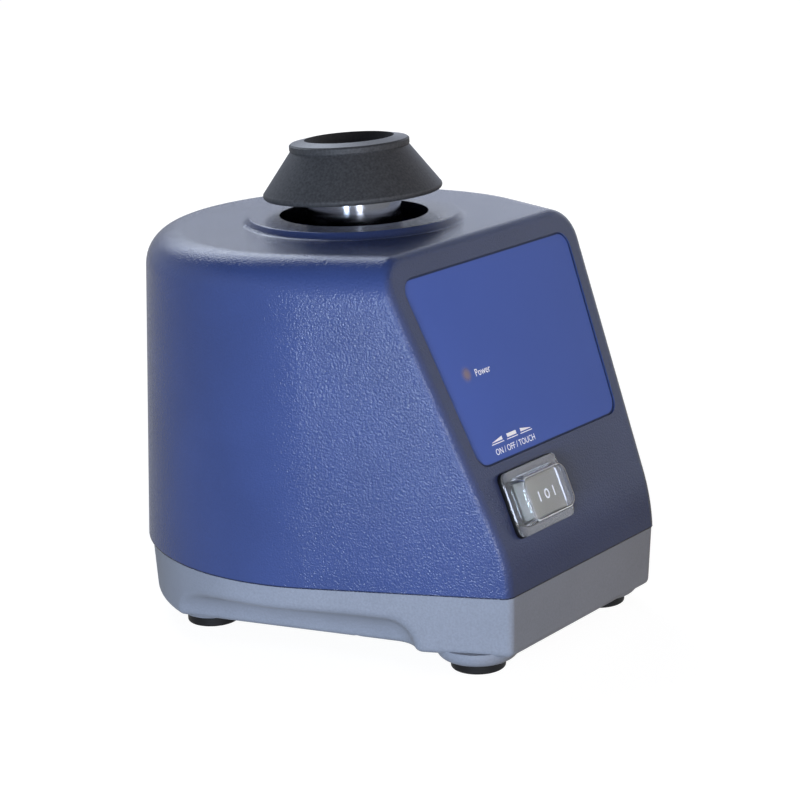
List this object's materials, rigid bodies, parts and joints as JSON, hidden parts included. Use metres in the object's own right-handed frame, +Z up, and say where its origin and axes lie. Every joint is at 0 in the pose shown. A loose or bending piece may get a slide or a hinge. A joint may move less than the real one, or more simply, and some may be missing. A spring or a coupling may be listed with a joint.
{
  "type": "vortex mixer",
  "caption": "Compact bench vortex mixer: painted housing with slanted panel, rocker switch under a clear boot, orbiting rubber cup that shakes tubes, rubber feet.",
  "frame": {"origin": "on the table under the middle of the bounding box", "axes": "+X to the right seen from the front panel, +Y towards the back, +Z up"},
  "size_m": [0.127, 0.1416, 0.1359],
  "materials": {
    "blue_paint": "textured powder coat",
    "grey_paint": "satin paint",
    "panel_film": "printed satin film",
    "amber_lens": "clear amber",
    "black_plastic": "moulded",
    "rocker_plastic": "moulded",
    "clear_boot": "clear flexible boot",
    "black_rubber": "moulded",
    "polished_steel": "polished",
    "steel": "zinc plated",
    "lamination_steel": "stacked sheet",
    "cast_alloy": "die cast",
    "bronze": "sintered",
    "copper": "enamelled wire",
    "bobbin_plastic": "moulded",
    "board": "glass fibre board",
    "fuse_glass": "clear",
    "plated_brass": "plated",
    "tin_plate": "plated"
  },
  "bodies": {
    "chassis": {"housing": "blue_paint", "base": "grey_paint", "panel_overlay": "panel_film", "power_lamp": "amber_lens", "lamp_board": "board", "switch_body": "black_plastic", "switch_tabs": "tin_plate", "switch_boot": "clear_boot", "rubber_feet": "black_rubber", "foot_screws": "steel", "power_inlet": "black_plastic", "inlet_pins": "tin_plate", "motor_plate": "steel", "plate_pillars": "steel", "plate_isolators": "black_rubber", "plate_screws": "steel", "motor_core": "lamination_steel", "coil_bobbin": "bobbin_plastic", "field_winding": "copper", "lower_bracket": "cast_alloy", "upper_bracket": "cast_alloy", "lower_bush": "bronze", "upper_bush": "bronze", "motor_spacers": "cast_alloy", "motor_bolts": "steel", "motor_nuts": "steel", "guide_pins": "steel", "guide_sleeves": "black_rubber", "thrust_guide": "bobbin_plastic", "guide_screws": "steel", "touch_spring": "steel", "micro_switch": "black_plastic", "lever_pin": "steel"},
    "press_stage": {"thrust_cup": "bobbin_plastic"},
    "drive": {"motor_shaft": "steel", "rotor": "lamination_steel", "cooling_fan": "black_plastic", "eccentric_hub": "steel", "set_screw": "steel", "counterweight": "steel", "bearing_inner": "steel", "bearing_balls": "steel", "bearing_screw": "steel"},
    "head": {"bearing_outer": "steel", "retaining_ring": "steel", "anti_rotation_plate": "cast_alloy", "head_post": "polished_steel", "rubber_cup": "black_rubber"},
    "rocker": {"rocker": "rocker_plastic"},
    "switch_lever": {"switch_lever": "steel"},
    "switch_plunger": {"switch_plunger": "rocker_plastic"},
    "fuse_drawer": {"fuse_drawer": "black_plastic", "fuse_glass": "fuse_glass", "fuse_caps": "plated_brass"}
  },
  "joints": [
    {"name": "touch_press", "type": "slide", "parent": "chassis", "child": "press_stage", "axis": [0, 0, -1], "range_m": [0, 0.0015], "stiffness_N_per_m": 4000, "springref_m": -0.003, "deforming": ["touch_spring"]},
    {"name": "motor_spin", "type": "hinge", "parent": "press_stage", "child": "drive", "pos_m": [0, 0.00734, 0.06], "axis": [0, 0, 1], "continuous": true},
    {"name": "head_orbit", "type": "hinge", "parent": "drive", "child": "head", "pos_m": [0.0018, 0.00822, 0.1058], "axis": [0, 0, 1], "continuous": true},
    {"name": "power_rocker", "type": "hinge", "parent": "chassis", "child": "rocker", "pos_m": [-0.016, -0.0607, 0.04462], "axis": [0, 0.3819, 0.9242], "range_deg": [-10, 10]},
    {"name": "lever_pivot", "type": "hinge", "parent": "chassis", "child": "switch_lever", "pos_m": [0.0275, 0.00734, 0.0227], "axis": [0, -1, 0], "range_deg": [0, 5.6]},
    {"name": "plunger_slide", "type": "slide", "parent": "chassis", "child": "switch_plunger", "axis": [0, 0, -1], "range_m": [0, 0.0007]},
    {"name": "fuse_drawer_slide", "type": "slide", "parent": "chassis", "child": "fuse_drawer", "axis": [0, 1, 0], "range_m": [0, 0.014]}
  ],
  "couplings": [
    {"joint": "head_orbit", "follows": "motor_spin", "ratio": -1},
    {"joint": "lever_pivot", "follows": "touch_press", "rad_per_m": 64.516},
    {"joint": "plunger_slide", "follows": "touch_press", "ratio": 0.4516}
  ]
}
